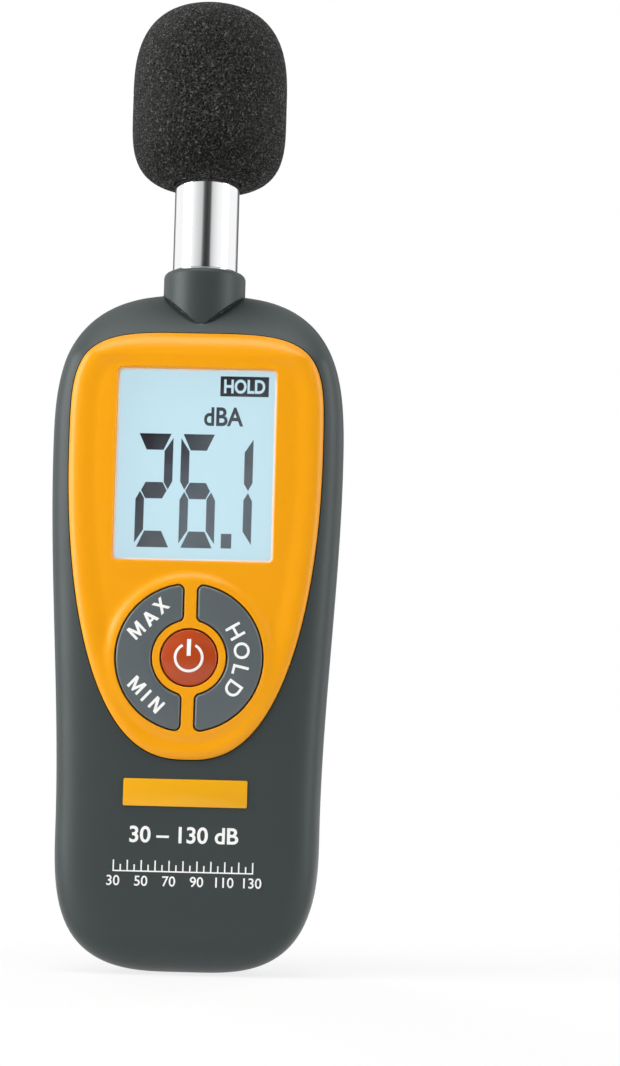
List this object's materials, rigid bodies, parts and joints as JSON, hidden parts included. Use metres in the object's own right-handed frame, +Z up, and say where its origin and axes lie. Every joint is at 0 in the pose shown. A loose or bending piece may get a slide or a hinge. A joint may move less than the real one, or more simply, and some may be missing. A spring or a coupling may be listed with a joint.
{
  "type": "sound level meter",
  "caption": "Hand-held sound level meter: display, power and hold keys, half-inch microphone tube with pull-off foam windscreen, and a sliding battery door.",
  "frame": {"origin": "bottom centre of the overall box, under the lower end of the case", "axes": "+Z up along the case to the microphone, display faces -Y, +X to the right of someone reading the display"},
  "size_m": [0.056, 0.0332, 0.1905],
  "materials": {
    "grey_plastic": "fine moulded texture, satin",
    "orange_plastic": "smooth satin gloss",
    "orange_film": "printed film, plain",
    "clear_lens": "clear acrylic",
    "black_foam": "closed-cell foam",
    "lcd_glass": "reflective liquid crystal cell",
    "white_plastic": "moulded",
    "light_guide": "translucent acrylic",
    "zebra_rubber": "layered silicone",
    "green_board": "solder resist on glass fibre",
    "black_epoxy": "moulded epoxy",
    "tinned_steel": "tinned spring steel",
    "white_silicone": "moulded silicone",
    "red_plastic": "satin gloss, white symbol",
    "key_plastic": "satin, white legends",
    "chrome_tube": "polished",
    "capsule_metal": "anodised",
    "lead_pvc": "thin insulated wire",
    "windscreen_foam": "open-cell foam, fine pores",
    "cell_sleeve": "plain printed sleeve",
    "screw_steel": "zinc plated",
    "insert_brass": "machined"
  },
  "bodies": {
    "case": {"front_shell": "grey_plastic", "rear_shell": "grey_plastic", "fascia": "orange_plastic", "nameplate": "orange_film", "display_window": "clear_lens", "window_gasket": "black_foam", "lcd_cell": "lcd_glass", "display_holder": "white_plastic", "backlight": "light_guide", "lcd_connectors": "zebra_rubber", "main_board": "green_board", "board_chips": "black_epoxy", "key_switches": "tinned_steel", "key_mat": "white_silicone", "microphone_tube": "chrome_tube", "microphone_grid": "chrome_tube", "microphone_capsule": "capsule_metal", "capsule_holder": "white_silicone", "microphone_leads": "lead_pvc", "microphone_plug": "white_plastic", "battery_cell_1": "cell_sleeve", "battery_cell_2": "cell_sleeve", "battery_cell_3": "cell_sleeve", "battery_springs": "tinned_steel", "battery_contacts": "tinned_steel", "battery_leads": "lead_pvc", "case_screws": "screw_steel", "board_screws": "screw_steel", "tripod_insert": "insert_brass"},
    "windscreen": {"windscreen": "windscreen_foam"},
    "battery_door": {"battery_door": "grey_plastic"},
    "power_key": {"power_key": "red_plastic"},
    "max_min_key": {"max_min_key": "key_plastic"},
    "hold_key": {"hold_key": "key_plastic"}
  },
  "joints": [
    {"name": "windscreen_slide", "type": "slide", "parent": "case", "child": "windscreen", "axis": [0, 0, 1], "range_m": [0, 0.045]},
    {"name": "battery_door_slide", "type": "slide", "parent": "case", "child": "battery_door", "axis": [0, 0, -1], "range_m": [0, 0.06]},
    {"name": "power_press", "type": "slide", "parent": "case", "child": "power_key", "axis": [0, 1, 0], "range_m": [0, 0.0006], "stiffness_N_per_m": 2500},
    {"name": "max_min_press", "type": "slide", "parent": "case", "child": "max_min_key", "axis": [0, 1, 0], "range_m": [0, 0.0006], "stiffness_N_per_m": 2500},
    {"name": "hold_press", "type": "slide", "parent": "case", "child": "hold_key", "axis": [0, 1, 0], "range_m": [0, 0.0006], "stiffness_N_per_m": 2500}
  ]
}
